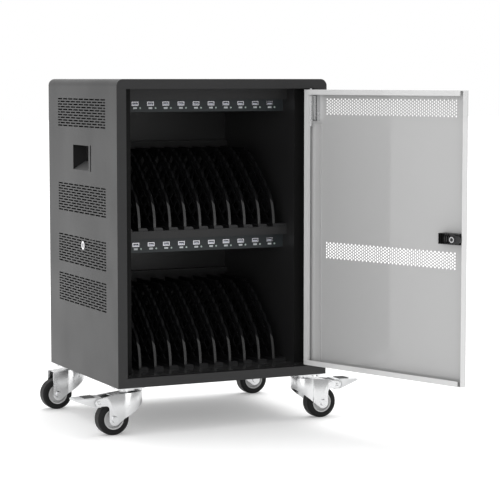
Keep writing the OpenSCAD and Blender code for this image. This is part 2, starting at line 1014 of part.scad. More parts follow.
// Repeats its children at the four swivels, each turned so that its wheel trails outwards
module at_casters() {
  for (side = [-1, 1])
    for (end = [-1, 1])
      translate([side * caster_x, end * caster_y, 0])
        rotate([0, 0, side < 0 ? 180 : 0])
          children();
}

// Repeats its children at the four bolts of a mounting plate
module at_plate_bolts() {
  for (x = [-1, 1])
    for (y = [-1, 1])
      translate([x * plate_bolts / 2, y * plate_bolts / 2, 0])
        children();
}

module caster_bolts() {
  low_z = floor_z - plate_t - bolt_nut_h - bolt_tail;
  color(zinc)
    at_casters()
      at_plate_bolts() {
        translate([0, 0, low_z])
          cylinder(d = bolt_d, h = floor_z + base_t - low_z);
        translate([0, 0, floor_z + base_t])
          cylinder(d = bolt_head_d, h = bolt_head_h);
        translate([0, 0, floor_z - plate_t - bolt_nut_h])
          cylinder(d = bolt_nut_d, h = bolt_nut_h, $fn = 6);
      }
}

// The fixed plate of a caster with its raceway and kingpin
module caster_plate() {
  head_top = fork_top_z - fork_head_t - seat_gap;
  difference() {
    translate([-plate_side / 2, -plate_side / 2, caster_h - plate_t])
      cube([plate_side, plate_side, plate_t]);
    at_plate_bolts()
      translate([0, 0, caster_h - plate_t - 1])
        cylinder(d = bolt_d + 2 * bolt_gap, h = plate_t + 2);
  }
  translate([0, 0, caster_h - plate_t - race_h])
    cylinder(d = race_d, h = race_h);
  translate([0, 0, head_top - kingpin_head_t])
    cylinder(d = kingpin_d, h = caster_h - plate_t - head_top + kingpin_head_t);
  translate([0, 0, head_top - kingpin_head_t])
    cylinder(d = kingpin_head_d, h = kingpin_head_t);
}

module caster_plates() {
  color(zinc)
    at_casters()
      caster_plate();
}

// Places one caster's turning pieces: side is -1 on the left, end is -1 at the front
module at_caster(side, end) {
  translate([side * caster_x, end * caster_y, 0])
    rotate([0, 0, side < 0 ? 180 : 0])
      children();
}

// A fork's plan: a channel round the swivel, open towards the trailing end
module fork_plan(inset) {
  translate([-nose_shift, 0])
    circle(fork_nose_r - inset);
  translate([0, -fork_half + inset])
    square([arm_end + 1, 2 * (fork_half - inset)]);
}

// Where the straight front of a fork's leg, which starts at the nose's lower corner, runs into the axle boss
function boss_touch() =
  let (from = [nose_x, fork_top_z - fork_nose_h] - [caster_trail, wheel_r])
  let (r = fork_boss_r - boss_tuck)
  let (turn = atan2(from[1], from[0]) + acos(r / norm(from)))
  [caster_trail + r * cos(turn), wheel_r + r * sin(turn)];

// The height of a fork's sloping top at x
function roof_z(x) = fork_top_z - arm_slope * (x - nose_x) / (arm_end - nose_x);

// The leg of a fork seen from the side, from its head down to the axle boss
module leg_side() {
  polygon([
    [nose_x, roof_z(nose_x)],
    [leg_x, roof_z(leg_x)],
    [leg_x, wheel_r],
    [caster_trail, wheel_r],
    boss_touch(),
    [nose_x, fork_top_z - fork_nose_h]
  ]);
  translate([caster_trail, wheel_r])
    circle(fork_boss_r);
}

// The arm that carries a brake pedal behind the leg: a fillet below it, a round end about the pedal's pin
module arm_side() {
  difference() {
    union() {
      polygon([
        [leg_x, roof_z(leg_x)],
        [pedal_pivot[0], arm_top_z],
        [pedal_pivot[0], arm_low_z],
        [leg_x + leg_fillet, arm_low_z],
        [leg_x + leg_fillet, arm_low_z - leg_fillet],
        [leg_x, arm_low_z - leg_fillet]
      ]);
      translate(pedal_pivot)
        circle(arm_h / 2);
    }
    translate([leg_x + leg_fillet, arm_low_z - leg_fillet])
      circle(leg_fillet);
  }
}

// The hollow of a fork seen from the side, under the roof and open behind it
module hollow_side() {
  polygon([
    [nose_x, -1],
    [nose_x, roof_z(nose_x) - fork_t],
    [roof_end, roof_z(roof_end) - fork_t],
    [roof_end, fork_top_z + 1],
    [arm_end + 1, fork_top_z + 1],
    [arm_end + 1, -1]
  ]);
}

// Runs shapes seen from a caster's side across it, l long
module across_plate(l) {
  translate([0, l / 2, 0])
    rotate([90, 0, 0])
      linear_extrude(l)
        children();
}

// A pressed fork: two legs, a rounded nose and a roof, with bores for kingpin, axle and pedal pin
module fork(pedal) {
  difference() {
    union() {
      difference() {
        intersection() {
          linear_extrude(caster_h)
            fork_plan(0);
          across_plate(2 * fork_nose_r + 2) {
            leg_side();
            if (pedal)
              arm_side();
          }
        }
        intersection() {
          linear_extrude(caster_h)
            fork_plan(fork_t);
          across_plate(2 * fork_nose_r + 2)
            hollow_side();
        }
      }
      translate([0, 0, fork_top_z - fork_head_t])
        cylinder(d = kingpin_boss_d, h = fork_head_t);
    }
    translate([0, 0, fork_top_z - fork_head_t - 1])
      cylinder(d = kingpin_d + 2 * run_gap, h = fork_head_t + 2);
    across(caster_trail, wheel_r, axle_d + 2 * run_gap, 2 * fork_half + 2);
    if (pedal)
      across(pedal_pivot[0], pedal_pivot[1], pedal_pin_d + 2 * run_gap, 2 * fork_half + 2);
  }
}

// A cylinder across a caster, at x and z, centred on its swivel
module across(x, z, d, l) {
  translate([x, l / 2, z])
    rotate([90, 0, 0])
      cylinder(d = d, h = l);
}

module caster_axle() {
  across(caster_trail, wheel_r, axle_d, 2 * fork_half);
  for (side = [-1, 1])
    translate([caster_trail, side * (fork_half + axle_head_t / 2), wheel_r])
      rotate([90, 0, 0])
        cylinder(d = hex_d(axle_head_af), h = axle_head_t, center = true, $fn = 6);
}

// A wheel's hub, turned about its axle: a rim, a thinner web and a boss with the bore
module caster_hub() {
  rim_r = hub_dia / 2;
  rim_in = rim_r - hub_rim_t;
  web_r = rim_in - hub_rim_taper;
  bore_r = axle_d / 2 + run_gap;
  boss_r = bore_r + hub_boss_t;
  boss_y = hub_w / 2 + hub_boss_over;
  translate([caster_trail, 0, wheel_r])
    rotate([90, 0, 0])
      rotate_extrude($fn = 96)
        polygon([
          [bore_r, -boss_y],
          [boss_r, -boss_y],
          [boss_r, -hub_web_t / 2],
          [web_r, -hub_web_t / 2],
          [rim_in, -hub_w / 2],
          [rim_r, -hub_w / 2],
          [rim_r, hub_w / 2],
          [rim_in, hub_w / 2],
          [web_r, hub_web_t / 2],
          [boss_r, hub_web_t / 2],
          [boss_r, boss_y],
          [bore_r, boss_y]
        ]);
}

// A tyre with round shoulders, seated on its hub
module caster_tyre() {
  seat_r = hub_dia / 2 + run_gap;
  translate([caster_trail, 0, wheel_r])
    rotate([90, 0, 0])
      rotate_extrude($fn = 96) {
        translate([seat_r, -wheel_w / 2])
          square([wheel_r - tyre_round - seat_r, wheel_w]);
        translate([seat_r, -wheel_w / 2 + tyre_round])
          square([wheel_r - seat_r, wheel_w - 2 * tyre_round]);
        for (side = [-1, 1])
          translate([wheel_r - tyre_round, side * (wheel_w / 2 - tyre_round)])
            circle(tyre_round);
      }
}

// A pressed brake pedal, open below: a shoe between the arms that widens round their ends into the tread
module caster_pedal() {
  inner_half = fork_half - fork_t - seat_gap;
  top = pedal_pivot[1] + pedal_root;
  low = pedal_pivot[1] - pedal_root;
  root = pedal_pivot[0] - pedal_root / 2;
  tip = pedal_pivot[0] + pedal_l;
  outline = [
    [root, top],
    [tip, top - pedal_drop],
    [tip + pedal_lip[0], top - pedal_lip[1]],
    [pedal_wide_x, low],
    [root, low]
  ];
  difference() {
    union() {
      across_plate(2 * inner_half)
        polygon(outline);
      across_plate(2 * fork_half)
        difference() {
          intersection() {
            polygon(outline);
            translate([pedal_wide_x, low])
              square([pedal_l, 2 * pedal_root]);
          }
          translate(pedal_pivot)
            circle(arm_h / 2 + pedal_end_gap);
        }
    }
    across_plate(2 * (inner_half - pedal_t))
      polygon([
        [root + pedal_t, low - 1],
        [root + pedal_t, top - pedal_t],
        [tip - pedal_t, top - pedal_drop - pedal_t],
        [tip - pedal_t, low - 1]
      ]);
  }
  across(pedal_pivot[0], pedal_pivot[1], pedal_pin_d, 2 * fork_half + 2);
}

module front_left_fork() {
  color(zinc)
    at_caster(-1, -1)
      fork(true);
}

module front_right_fork() {
  color(zinc)
    at_caster(1, -1)
      fork(true);
}

module rear_left_fork() {
  color(zinc)
    at_caster(-1, 1)
      fork(false);
}

module rear_right_fork() {
  color(zinc)
    at_caster(1, 1)
      fork(false);
}

module front_left_axle() {
  color(zinc)
    at_caster(-1, -1)
      caster_axle();
}

module front_right_axle() {
  color(zinc)
    at_caster(1, -1)
      caster_axle();
}

module rear_left_axle() {
  color(zinc)
    at_caster(-1, 1)
      caster_axle();
}

module rear_right_axle() {
  color(zinc)
    at_caster(1, 1)
      caster_axle();
}

module front_left_hub() {
  color(hub_grey)
    at_caster(-1, -1)
      caster_hub();
}

module front_right_hub() {
  color(hub_grey)
    at_caster(1, -1)
      caster_hub();
}

module rear_left_hub() {
  color(hub_grey)
    at_caster(-1, 1)
      caster_hub();
}

module rear_right_hub() {
  color(hub_grey)
    at_caster(1, 1)
      caster_hub();
}

module front_left_tyre() {
  color(black)
    at_caster(-1, -1)
      caster_tyre();
}

module front_right_tyre() {
  color(black)
    at_caster(1, -1)
      caster_tyre();
}

module rear_left_tyre() {
  color(black)
    at_caster(-1, 1)
      caster_tyre();
}

module rear_right_tyre() {
  color(black)
    at_caster(1, 1)
      caster_tyre();
}

module front_left_pedal() {
  color(zinc)
    at_caster(-1, -1)
      caster_pedal();
}

module front_right_pedal() {
  color(zinc)
    at_caster(1, -1)
      caster_pedal();
}

// Swings pieces drawn on the closed door to where the door stands open
module swung() {
  translate([pivot_x, pivot_y, 0])
    rotate([0, 0, door_open])
      translate([-pivot_x, -pivot_y, 0])
        children();
}

// A box on the closed door: u from the hinge edge, v behind the outer face, z as it is
module door_box(low, high) {
  box(
    [hinge_edge_x - high[0], front_y + low[1], low[2]],
    [hinge_edge_x - low[0], front_y + high[1], high[2]]
  );
}

// One perforated band about its middle, from its end nearest the hinge
module perf_band() {
  for (row = [0 : perf_rows - 1])
    for (col = [0 : perf_cols - 1 - row % 2])
      translate([perf_d / 2 + (col + (row % 2) / 2) * perf_pitch, (row - (perf_rows - 1) / 2) * perf_row])
        circle(d = perf_d, $fn = 24);
}

// The door's flat sheet, u to the right, with its bands and the hole for the latch shaft
module door_sheet() {
  difference() {
    translate([0, door_z])
      square([door_w, door_h]);
    for (z = [top_z - perf_upper_drop, floor_z + perf_lower_h])
      translate([perf_start, z])
        perf_band();
    translate([door_w - latch_inset, latch_z])
      circle(d = latch_shaft_d + 2 * run_gap);
  }
}

module door_skin() {
  lip_v = door_depth - skin_t;
  color(door_coat)
    swung()
      difference() {
        union() {
          translate([hinge_edge_x, 0, 0])
            mirror([1, 0, 0])
              front_plate(front_y, skin_t)
                door_sheet();
          door_box([0, 0, door_z], [skin_t, door_depth, door_top_z]);
          door_box([door_w - skin_t, 0, door_z], [door_w, door_depth, door_top_z]);
          door_box([0, 0, door_top_z - skin_t], [door_w, door_depth, door_top_z]);
          door_box([0, 0, door_z], [door_w, door_depth, door_z + skin_t]);
          door_box([0, lip_v, door_top_z - door_lip_w], [door_w - lip_end, door_depth, door_top_z]);
          door_box([0, lip_v, door_z], [door_w - lip_end, door_depth, door_z + door_lip_w]);
          door_box([0, lip_v, door_z], [door_lip_w, door_depth, door_top_z]);
          door_box([door_lip_w - skin_t, return_v, door_z], [door_lip_w, door_depth, door_top_z]);
        }
        for (z = [door_z - 1, door_top_z - skin_t - 1])
          translate([pivot_x, pivot_y, z])
            cylinder(d = hinge_pin_d + 2 * run_gap, h = skin_t + 2);
      }
}

module door_stiffener() {
  low = door_lip_w + 1;
  top = door_top_z - stiffener_end;
  color(door_coat)
    swung() {
      door_box([low, skin_t, door_z + skin_t], [low + stiffener_w, skin_t + stiffener_t, top]);
      door_box(
        [low + stiffener_w - stiffener_t, skin_t, door_z + skin_t],
        [low + stiffener_w, skin_t + 2 * stiffener_t, top]
      );
    }
}

module upper_hinge_bracket() {
  top = bracket_z + bracket_h;
  color(zinc)
    swung()
      difference() {
        union() {
          door_box([bracket_start, skin_t, bracket_z], [bracket_end, skin_t + bracket_t, top]);
          door_box([bracket_end - bracket_t, skin_t, bracket_z], [bracket_end, bracket_rise, top]);
          for (z = [bracket_z, top - bracket_t])
            door_box([ear_start, skin_t, z], [bracket_end, return_v - seat_gap, z + bracket_t]);
        }
        translate([pivot_x, pivot_y, bracket_z - 1])
          cylinder(d = hinge_pin_d + 2 * run_gap, h = bracket_h + 2);
      }
}

module upper_hinge_pin() {
  low_z = bracket_z - tab_drop;
  color(zinc)
    swung() {
      translate([pivot_x, pivot_y, low_z])
        cylinder(d = hinge_pin_d, h = door_top_z + pin_reach - low_z);
      door_box(
        [pivot_inset, pivot_back - tab[1] / 2, low_z],
        [pivot_inset + tab[0], pivot_back + tab[1] / 2, low_z + tab[2]]
      );
    }
}

module lower_hinge_pin() {
  color(zinc)
    swung()
      translate([pivot_x, pivot_y, 0]) {
        translate([0, 0, door_z - lower_pin_reach])
          cylinder(d = hinge_pin_d, h = lower_pin_reach + skin_t);
        translate([0, 0, door_z + skin_t])
          cylinder(d = pin_collar_d, h = pin_collar_h);
      }
}

// Runs shapes drawn along +Z from the door's outer face inwards, about the latch shaft on the closed door
module at_latch() {
  swung()
    translate([hinge_edge_x - door_w + latch_inset, front_y, latch_z])
      rotate([-90, 0, 0])
        children();
}

module latch_body() {
  reach = latch_body_l - latch_shaft_d;
  color(black)
    at_latch()
      difference() {
        translate([-latch_shaft_d, -latch_body_h / 2, skin_t])
          cube([latch_body_l, latch_body_h, latch_top - skin_t - stack_gap]);
        translate([0, 0, -1])
          cylinder(d = latch_shaft_d + 2 * run_gap, h = latch_top + 2);
        for (x = [latch_shaft_d + rib_pitch / 2 : rib_pitch : reach - rib_pitch / 2])
          translate([x, -latch_body_h, latch_top - rib_depth])
            cube([rib_pitch / 2, 2 * latch_body_h, 2 * rib_depth]);
      }
}

module latch_shaft() {
  stack_z = latch_top + cam_t + lever_t + 2 * stack_gap;
  color(zinc)
    at_latch()
      difference() {
        union() {
          translate([0, 0, -key_face_t - stack_gap])
            cylinder(d = key_face_d, h = key_face_t);
          translate([0, 0, -key_face_t])
            cylinder(d = latch_shaft_d, h = key_face_t + stack_z);
          translate([0, 0, stack_z])
            cylinder(d = nut_d, h = nut_h);
        }
        translate([0, 0, stack_z + nut_h - nut_socket[1]])
          cylinder(d = nut_socket[0], h = nut_socket[1] + 1);
        translate([0, 0, -key_face_t - stack_gap])
          cube([key_slot[0], key_slot[1], 2 * key_slot[2]], center = true);
      }
}

module latch_lever() {
  color(black)
    at_latch()
      translate([0, 0, latch_top + cam_t + stack_gap])
        difference() {
          union() {
            cylinder(r = lever_hub_r, h = lever_t);
            translate([-lever_reach + lever_r, -lever_r, 0])
              cube([lever_reach - lever_r, 2 * lever_r, lever_t]);
            translate([-lever_reach + lever_r, 0, 0])
              cylinder(r = lever_r, h = lever_t);
          }
          translate([0, 0, -1])
            cylinder(d = latch_shaft_d + 2 * run_gap, h = lever_t + 2);
        }
}

// The cam lies along the latch's body and reaches behind the stile after half a turn
module latch_cam() {
  color(zinc)
    at_latch()
      translate([0, 0, latch_top])
        difference() {
          union() {
            cylinder(r = cam_hub_r, h = cam_t);
            translate([0, -cam_w / 2, 0])
              cube([latch_cam_l, cam_w, cam_t]);
          }
          translate([0, 0, -1])
            cylinder(d = latch_shaft_d + 2 * run_gap, h = cam_t + 2);
        }
}

left_side_panel();
right_side_panel();
top_panel();
back_panel();
base_pan();
top_rail();
bottom_rail();
left_stile();
right_stile();
left_inner_wall();
right_inner_wall();
floor_deck();
mid_shelf();
header_panel();
upper_usb_hub();
lower_usb_hub();
usb_ports();
port_lights();
upper_divider_rack();
lower_divider_rack();
upper_dividers();
lower_dividers();
stop_bars();
left_handle_cup();
right_handle_cup();
side_lock_barrel();
side_lock_plug();
power_supply();
power_inlet();
power_switch();
back_screws();
caster_bolts();
caster_plates();
door_skin();
door_stiffener();
upper_hinge_bracket();
upper_hinge_pin();
lower_hinge_pin();
latch_body();
latch_shaft();
latch_lever();
latch_cam();
front_left_fork();
front_right_fork();
rear_left_fork();
rear_right_fork();
front_left_axle();
front_right_axle();
rear_left_axle();
rear_right_axle();
front_left_hub();
front_right_hub();
rear_left_hub();
rear_right_hub();
front_left_tyre();
front_right_tyre();
rear_left_tyre();
rear_right_tyre();
front_left_pedal();
front_right_pedal();
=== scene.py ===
import json
import math

import bpy
from mathutils import Matrix, Vector


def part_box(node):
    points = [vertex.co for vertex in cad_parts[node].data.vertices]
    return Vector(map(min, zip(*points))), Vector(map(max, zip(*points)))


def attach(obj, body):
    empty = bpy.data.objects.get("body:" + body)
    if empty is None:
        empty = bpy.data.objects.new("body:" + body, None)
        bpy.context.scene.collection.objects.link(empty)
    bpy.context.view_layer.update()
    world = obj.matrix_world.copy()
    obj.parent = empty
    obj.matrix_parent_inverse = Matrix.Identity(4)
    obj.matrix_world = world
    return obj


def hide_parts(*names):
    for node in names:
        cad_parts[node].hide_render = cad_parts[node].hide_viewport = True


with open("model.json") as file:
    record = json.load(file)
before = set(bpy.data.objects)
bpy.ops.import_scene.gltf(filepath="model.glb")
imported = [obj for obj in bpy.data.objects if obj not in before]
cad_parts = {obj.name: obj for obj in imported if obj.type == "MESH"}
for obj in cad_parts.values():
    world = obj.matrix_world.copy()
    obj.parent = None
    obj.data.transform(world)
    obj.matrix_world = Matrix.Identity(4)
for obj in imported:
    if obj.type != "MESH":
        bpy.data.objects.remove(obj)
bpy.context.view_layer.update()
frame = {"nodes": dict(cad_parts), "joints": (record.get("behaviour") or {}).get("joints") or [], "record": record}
nodes = frame["nodes"]
bodyOf = {n: b for b, members in frame["record"]["behaviour"]["bodies"].items() for n in members}
slotOf = {s["node"]: s["material_slot"] for s in frame["record"]["subparts"]}
doorHinge = [j for j in frame["joints"] if j["name"] == "door_hinge"][0]
print("frame loaded,", len(nodes), "nodes")


# finishes, all on Object coordinates in metres

def newFinish(name):
    finish = bpy.data.materials.new(name)
    finish.use_nodes = True
    tree = finish.node_tree
    place = tree.nodes.new("ShaderNodeTexCoord")
    return finish, tree, tree.nodes["Principled BSDF"], place.outputs["Object"]


def grain(tree, place, scale, detail):
    noise = tree.nodes.new("ShaderNodeTexNoise")
    noise.inputs["Scale"].default_value = scale
    noise.inputs["Detail"].default_value = detail
    tree.links.new(place, noise.inputs["Vector"])
    return noise.outputs["Fac"]


noiseSpan = (0.3, 0.7)  # most of a noise texture's values lie between these


def tones(tree, value, dark, light):
    ramp = tree.nodes.new("ShaderNodeValToRGB")
    ramp.color_ramp.elements[0].position = noiseSpan[0]
    ramp.color_ramp.elements[1].position = noiseSpan[1]
    ramp.color_ramp.elements[0].color = (*dark, 1)
    ramp.color_ramp.elements[1].color = (*light, 1)
    tree.links.new(value, ramp.inputs["Fac"])
    return ramp.outputs["Color"]


def spread(tree, value, low, high):
    span = tree.nodes.new("ShaderNodeMapRange")
    span.inputs["From Min"].default_value = noiseSpan[0]
    span.inputs["From Max"].default_value = noiseSpan[1]
    span.inputs["To Min"].default_value = low
    span.inputs["To Max"].default_value = high
    tree.links.new(value, span.inputs["Value"])
    return span.outputs["Result"]


def raised(tree, shader, height, strength, depth):
    bump = tree.nodes.new("ShaderNodeBump")
    bump.inputs["Strength"].default_value = strength
    bump.inputs["Distance"].default_value = depth
    tree.links.new(height, bump.inputs["Height"])
    tree.links.new(bump.outputs["Normal"], shader.inputs["Normal"])


def shade(colour, factor):
    return tuple(c * factor for c in colour)


def cloudy(tree, cloud, look):
    # the look's colour, a little darker and lighter in clouds
    dark = shade(look["colour"], 1 - look["wander"])
    light = shade(look["colour"], 1 + look["wander"])
    return tones(tree, cloud, dark, light)


# powder coat: cloudy tone, satin gloss that wanders a little, fine orange peel
def powderCoat(name, look):
    finish, tree, shader, place = newFinish(name)
    cloud = grain(tree, place, look["cloudScale"], 3)
    peel = grain(tree, place, look["peelScale"], 1)
    tree.links.new(cloudy(tree, cloud, look), shader.inputs["Base Color"])
    tree.links.new(spread(tree, cloud, *look["gloss"]), shader.inputs["Roughness"])
    raised(tree, shader, peel, look["peelStrength"], look["peelDepth"])
    shader.inputs["Specular IOR Level"].default_value = look["shine"]
    shader.inputs["Coat Weight"].default_value = look["clear"]
    shader.inputs["Coat Roughness"].default_value = look["clearRoughness"]
    return finish


# plated or polished metal: faint mottling and a gloss that varies with it
def plated(name, look):
    finish, tree, shader, place = newFinish(name)
    mottle = grain(tree, place, look["mottleScale"], 3)
    fine = grain(tree, place, look["fineScale"], 2)
    colour = tones(tree, mottle, shade(look["colour"], 1 - look["wander"]), look["colour"])
    tree.links.new(colour, shader.inputs["Base Color"])
    tree.links.new(spread(tree, mottle, *look["gloss"]), shader.inputs["Roughness"])
    raised(tree, shader, fine, look["fineStrength"], look["fineDepth"])
    shader.inputs["Metallic"].default_value = 1.0
    return finish


# moulded plastic or rubber: fine spark-eroded grain
def moulded(name, look):
    finish, tree, shader, place = newFinish(name)
    cloud = grain(tree, place, look["cloudScale"], 2)
    speck = grain(tree, place, look["speckScale"], 1)
    tree.links.new(cloudy(tree, cloud, look), shader.inputs["Base Color"])
    tree.links.new(spread(tree, speck, *look["gloss"]), shader.inputs["Roughness"])
    raised(tree, shader, speck, look["speckStrength"], look["speckDepth"])
    shader.inputs["Specular IOR Level"].default_value = look["shine"]
    return finish


# a lit lens: tinted plastic that glows a little
def litLens(name, look):
    finish, tree, shader, place = newFinish(name)
    cloud = grain(tree, place, look["cloudScale"], 1)
    colour = tones(tree, cloud, shade(look["colour"], 1 - look["wander"]), look["colour"])
    tree.links.new(colour, shader.inputs["Base Color"])
    tree.links.new(colour, shader.inputs["Emission Color"])
    shader.inputs["Emission Strength"].default_value = look["glow"]
    shader.inputs["Roughness"].default_value = look["gloss"]
    return finish


coatLook = {"colour": (0.018, 0.018, 0.0185), "wander": 0.05, "cloudScale": 7, "gloss": (0.34, 0.42),
            "peelScale": 900, "peelStrength": 0.12, "peelDepth": 0.0002, "shine": 0.31, "clear": 0.0,
            "clearRoughness": 0.1}
# inside the cabinet the coat is painted a little darker, as painted shade
innerShadeLook = {**coatLook, "colour": (0.016, 0.016, 0.0165), "gloss": (0.30, 0.38)}
# the back panel's inner face is painted darker still, as painted shade
backShadeLook = {**innerShadeLook, "colour": (0.011, 0.011, 0.0115), "shine": 0.4}
# the deck is painted lighter than the coat, as painted light
deckLitLook = {**coatLook, "colour": (0.038, 0.038, 0.0385), "gloss": (0.16, 0.22), "peelStrength": 0.05}
# duct flanges and duct sides are painted near black, as painted shade
flangeShadeLook = {**innerShadeLook, "colour": (0.006, 0.006, 0.006), "gloss": (0.5, 0.6), "shine": 0.1}
# the handle cups' upward faces are painted lighter, as painted light
cupFloorLitLook = {**coatLook, "colour": (0.10, 0.10, 0.101), "shine": 0.5}
hubCaseLook = {**coatLook, "colour": (0.016, 0.020, 0.022), "shine": 0.34}
doorFrameLook = {**coatLook, "colour": (0.58, 0.58, 0.58), "wander": 0.015, "gloss": (0.30, 0.36),
                 "peelStrength": 0.06, "clear": 0.7, "clearRoughness": 0.03}
doorPanelLook = {**doorFrameLook, "colour": (0.41, 0.41, 0.41), "clear": 0.8}
zincLook = {"colour": (0.66, 0.665, 0.67), "wander": 0.03, "mottleScale": 25, "gloss": (0.24, 0.28),
            "fineScale": 900, "fineStrength": 0.02, "fineDepth": 0.0001}
pedalLook = {**zincLook, "colour": (0.74, 0.745, 0.75), "gloss": (0.55, 0.65)}
chromeLook = {**zincLook, "colour": (0.78, 0.78, 0.79), "wander": 0.05, "gloss": (0.08, 0.16)}
steelLook = {**zincLook, "colour": (0.42, 0.42, 0.43), "gloss": (0.2, 0.26)}
shellLook = {**steelLook, "colour": (0.50, 0.50, 0.53)}
darkSteelLook = {**zincLook, "colour": (0.085, 0.085, 0.087), "gloss": (0.35, 0.45)}
blackLook = {"colour": (0.012, 0.012, 0.013), "wander": 0.15, "cloudScale": 30, "speckScale": 1200,
             "gloss": (0.36, 0.48), "speckStrength": 0.15, "speckDepth": 0.0001, "shine": 0.4}
# divider bodies are painted darker than the black plastic, as painted shade
dividerShadeLook = {**blackLook, "colour": (0.007, 0.007, 0.0075), "gloss": (0.45, 0.55), "shine": 0.06}
ribLook = {**blackLook, "colour": (0.003, 0.003, 0.003), "gloss": (0.55, 0.65), "shine": 0.05}
# divider front faces near the foot are painted lighter, as a painted highlight
litFrontLook = {**blackLook, "colour": (0.040, 0.040, 0.0405), "gloss": (0.28, 0.36)}
hubLook = {**blackLook, "colour": (0.55, 0.55, 0.55), "wander": 0.03, "gloss": (0.35, 0.45)}
tyreLook = {**blackLook, "colour": (0.006, 0.006, 0.006), "gloss": (0.45, 0.60), "speckScale": 900,
            "speckStrength": 0.2, "speckDepth": 0.0002, "shine": 0.2}
padLook = {**tyreLook, "colour": (0.10, 0.10, 0.10)}
tagLook = {**blackLook, "colour": (0.44, 0.46, 0.47), "wander": 0.05}
tongueLook = {**blackLook, "colour": (0.50, 0.52, 0.60), "wander": 0.03}
lensLook = {"colour": (0.34, 0.41, 0.38), "wander": 0.2, "cloudScale": 300, "glow": 0.05, "gloss": 0.2}

cabinetCoat = powderCoat("cabinetCoat", coatLook)
innerShadeCoat = powderCoat("innerShadeCoat", innerShadeLook)
backShadeCoat = powderCoat("backShadeCoat", backShadeLook)
deckLitCoat = powderCoat("deckLitCoat", deckLitLook)
flangeShadeCoat = powderCoat("flangeShadeCoat", flangeShadeLook)
cupFloorLitCoat = powderCoat("cupFloorLitCoat", cupFloorLitLook)
hubCaseCoat = powderCoat("hubCaseCoat", hubCaseLook)
doorFrameCoat = powderCoat("doorFrameCoat", doorFrameLook)
doorPanelCoat = powderCoat("doorPanelCoat", doorPanelLook)
brightZinc = plated("brightZinc", zincLook)
lockChrome = plated("lockChrome", chromeLook)
pedalZinc = plated("pedalZinc", pedalLook)
nutSteel = plated("nutSteel", steelLook)
shellSteel = plated("shellSteel", shellLook)
darkSteel = plated("darkSteel", darkSteelLook)
blackPlastic = moulded("blackPlastic", blackLook)
dividerShadePlastic = moulded("dividerShadePlastic", dividerShadeLook)
litFrontPlastic = moulded("litFrontPlastic", litFrontLook)
hubPlastic = moulded("hubPlastic", hubLook)
tyreRubber = moulded("tyreRubber", tyreLook)
gripRubber = moulded("gripRubber", ribLook)
padRubber = moulded("padRubber", padLook)
tagPlastic = moulded("tagPlastic", tagLook)
tonguePlastic = moulded("tonguePlastic", tongueLook)
lightLens = litLens("lightLens", lensLook)

# the inner_coat slot gets the coat painted darker, as painted shade
finishOfSlot = {"coat": cabinetCoat, "inner_coat": innerShadeCoat, "door_coat": doorFrameCoat,
                "black_plastic": blackPlastic, "zinc": brightZinc, "hub_plastic": hubPlastic,
                "tyre": tyreRubber, "light_lens": lightLens}
# floor_deck gets the coat painted lighter, as painted light
finishOfNode = {"floor_deck": deckLitCoat, "mid_shelf": cabinetCoat, "header_panel": cabinetCoat,
                "stop_bars": cabinetCoat, "upper_usb_hub": hubCaseCoat, "lower_usb_hub": hubCaseCoat,
                "side_lock_barrel": lockChrome, "side_lock_plug": nutSteel, "latch_shaft": nutSteel,
                "latch_cam": darkSteel, "door_stiffener": doorPanelCoat, "power_supply": nutSteel}
for name, node in nodes.items():
    node.data.materials.clear()
    node.data.materials.append(finishOfNode.get(name, finishOfSlot[slotOf[name]]))
print("finishes on", len(nodes), "nodes")


# hand tools for the pieces

mergeGap = 1e-5
flatAngle = math.radians(0.5)
onPlane = 1e-6  # how near a point lies to a plane that holds it


def pick(piece):
    bpy.ops.object.select_all(action="DESELECT")
    piece.select_set(True)
    bpy.context.view_layer.objects.active = piece


def editing(on):
    bpy.ops.object.mode_set(mode="EDIT" if on else "OBJECT")


def choose(piece, mode, test):
    # selects the faces or edges whose middle and normal pass the test, and enters edit mode
    pick(piece)
    editing(True)
    bpy.ops.mesh.select_mode(type=mode)
    bpy.ops.mesh.select_all(action="DESELECT")
    editing(False)
    mesh = piece.data
    for part in mesh.polygons if mode == "FACE" else mesh.edges:
        middle = sum((mesh.vertices[v].co for v in part.vertices), Vector()) / len(part.vertices)
        part.select = test(middle, part.normal if mode == "FACE" else None)
    editing(True)


def paint(piece, finish, test):
    # gives the faces that pass the test a finish of their own
    piece.data.materials.append(finish)
    choose(piece, "FACE", test)
    piece.active_material_index = len(piece.data.materials) - 1
    bpy.ops.object.material_slot_assign()
    editing(False)


def bindTo(piece, body, slot, *replaced):
    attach(piece, body)
    if replaced:
        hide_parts(*replaced)


def fromNode(name, node, finish, dissolve=True):
    # a merged copy of a CAD node that stands for it
    piece = bpy.data.objects.new(name, nodes[node].data.copy())
    bpy.context.collection.objects.link(piece)
    piece.data.materials.clear()
    piece.data.materials.append(finish)
    pick(piece)
    editing(True)
    bpy.ops.mesh.select_all(action="SELECT")
    bpy.ops.mesh.remove_doubles(threshold=mergeGap)
    if dissolve:
        bpy.ops.mesh.dissolve_limited(angle_limit=flatAngle)
    editing(False)
    bindTo(piece, bodyOf[node], slotOf[node], node)
    return piece


def smooth(piece, sharp):
    pick(piece)
    bpy.ops.object.shade_smooth_by_angle(angle=math.radians(sharp))


def soften(piece, width):
    # rounds every sharp edge a little
    sharp = 35
    pick(piece)
    editing(True)
    bpy.ops.mesh.select_mode(type="EDGE")
    bpy.ops.mesh.select_all(action="DESELECT")
    bpy.ops.mesh.edges_select_sharp(sharpness=math.radians(sharp))
    bpy.ops.mesh.bevel(offset=width, segments=2, affect="EDGES", clamp_overlap=True)
    editing(False)
    smooth(piece, sharp)


def joined(pieces, name):
    bpy.ops.object.select_all(action="DESELECT")
    for piece in pieces:
        piece.select_set(True)
    bpy.context.view_layer.objects.active = pieces[0]
    bpy.ops.object.join()
    bpy.context.object.name = name
    return bpy.context.object


